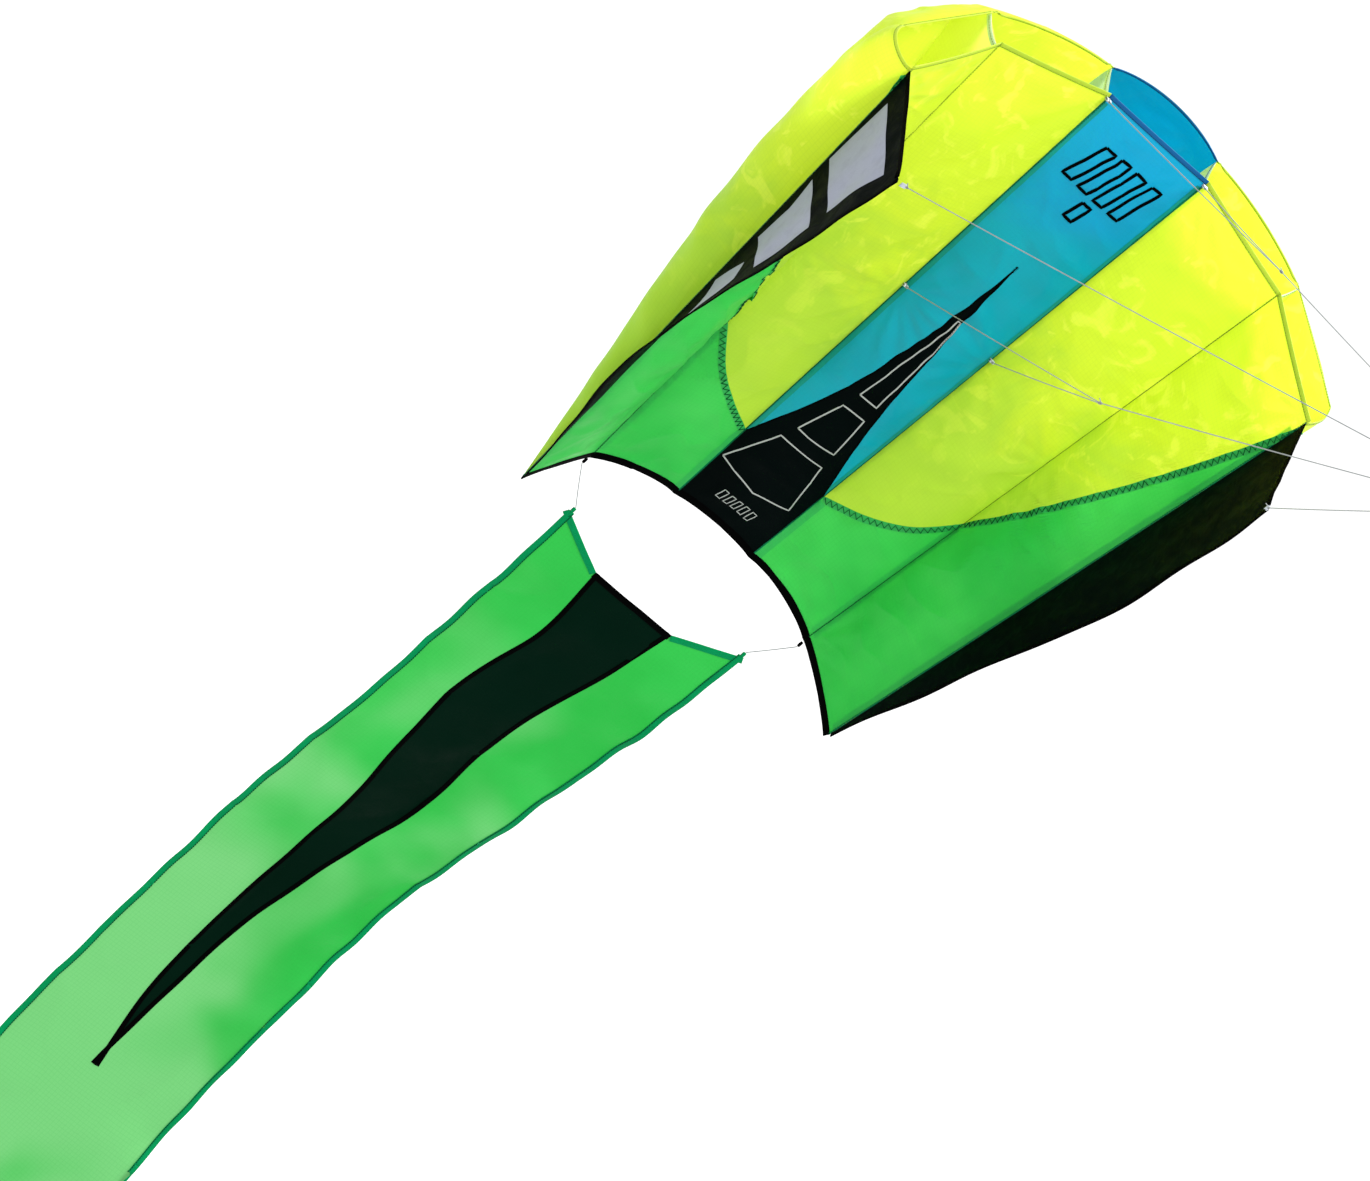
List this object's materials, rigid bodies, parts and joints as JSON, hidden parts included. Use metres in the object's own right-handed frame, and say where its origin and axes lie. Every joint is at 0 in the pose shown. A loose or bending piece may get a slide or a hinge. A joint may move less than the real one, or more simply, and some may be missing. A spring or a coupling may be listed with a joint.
{
  "type": "parafoil kite",
  "caption": "Frameless ram-air parafoil kite with open-nosed cells, two keel fins, a forked bridle to a tow ring, and a ribbon tail with a wavy flame inset.",
  "frame": {"origin": "centre of the tow ring, where the flying line fastens", "axes": "+X along the span and the tow ring's bore, +Y from the flyer's side through to the top skin, +Z from the trailing edge to the leading edge; the tail hangs along -Z"},
  "size_m": [0.6886, 1.4657, 2.514],
  "materials": {
    "yellow_cloth": "satin",
    "green_cloth": "satin",
    "blue_cloth": "satin",
    "black_cloth": "satin",
    "black_binding": "matte",
    "green_binding": "matte",
    "white_line": "matte",
    "ring_steel": "satin"
  },
  "bodies": {
    "canopy": {"bottom_inner_panel_left": "yellow_cloth", "bottom_inner_panel_right": "yellow_cloth", "bottom_inner_rear_panel_left": "green_cloth", "bottom_inner_rear_panel_right": "green_cloth", "bottom_middle_panel": "blue_cloth", "bottom_outer_panel_left": "yellow_cloth", "bottom_outer_panel_right": "yellow_cloth", "bottom_outer_rear_panel_left": "green_cloth", "bottom_outer_rear_panel_right": "green_cloth", "bottom_spike_panel": "black_cloth", "bridle_fin_line_left": "white_line", "bridle_fin_line_right": "white_line", "bridle_knots": "white_line", "bridle_middle_line_left": "white_line", "bridle_middle_line_right": "white_line", "bridle_middle_main": "white_line", "bridle_nose_line_left": "white_line", "bridle_nose_line_right": "white_line", "bridle_nose_main": "white_line", "bridle_tabs": "black_binding", "fin_binding_left": "black_binding", "fin_binding_right": "black_binding", "fin_left": "black_cloth", "fin_right": "black_cloth", "lower_lip_hem": "yellow_cloth", "rib_inner_left": "yellow_cloth", "rib_inner_right": "yellow_cloth", "rib_middle_left": "yellow_cloth", "rib_middle_right": "yellow_cloth", "side_wall_left": "yellow_cloth", "side_wall_right": "yellow_cloth", "tail_tabs": "black_binding", "top_inner_panel_left": "yellow_cloth", "top_inner_panel_right": "yellow_cloth", "top_middle_panel": "blue_cloth", "top_outer_panel_left": "yellow_cloth", "top_outer_panel_right": "yellow_cloth", "tow_knot": "white_line", "tow_ring": "ring_steel", "trailing_edge_binding": "black_binding", "upper_lip_hem": "yellow_cloth"},
    "tail_lines": {"tail_line_left": "white_line", "tail_line_right": "white_line"},
    "tail_head": {"tail_corner_tabs": "green_binding", "tail_head_flame": "black_cloth", "tail_head_hems": "green_binding", "tail_head_panel_left": "green_cloth", "tail_head_panel_right": "green_cloth"},
    "tail_front": {"tail_front_flame": "black_cloth", "tail_front_hems": "green_binding", "tail_front_panel_left": "green_cloth", "tail_front_panel_right": "green_cloth"},
    "tail_rear": {"tail_rear_flame": "black_cloth", "tail_rear_hems": "green_binding", "tail_rear_panel_left": "green_cloth", "tail_rear_panel_right": "green_cloth"},
    "tail_tip": {"tail_tip_flame": "black_cloth", "tail_tip_hems": "green_binding", "tail_tip_panel": "green_cloth"}
  },
  "joints": [
    {"name": "tail_lines_swing", "type": "hinge", "parent": "canopy", "child": "tail_lines", "pos_m": [0, 1.362, -1.24314], "axis": [1, 0, 0], "range_deg": [-60, 60]},
    {"name": "tail_head_swing", "type": "hinge", "parent": "tail_lines", "child": "tail_head", "pos_m": [0, 1.362, -1.295], "axis": [1, 0, 0], "range_deg": [-45, 45]},
    {"name": "tail_front_bend", "type": "hinge", "parent": "tail_head", "child": "tail_front", "pos_m": [0, 1.362, -1.6], "axis": [1, 0, 0], "range_deg": [-35, 35]},
    {"name": "tail_rear_twist", "type": "hinge", "parent": "tail_front", "child": "tail_rear", "pos_m": [0, 1.362, -1.9], "axis": [0, 0, 1], "range_deg": [-40, 40]},
    {"name": "tail_tip_bend", "type": "hinge", "parent": "tail_rear", "child": "tail_tip", "pos_m": [0, 1.362, -2.2], "axis": [1, 0, 0], "range_deg": [-40, 40]}
  ]
}
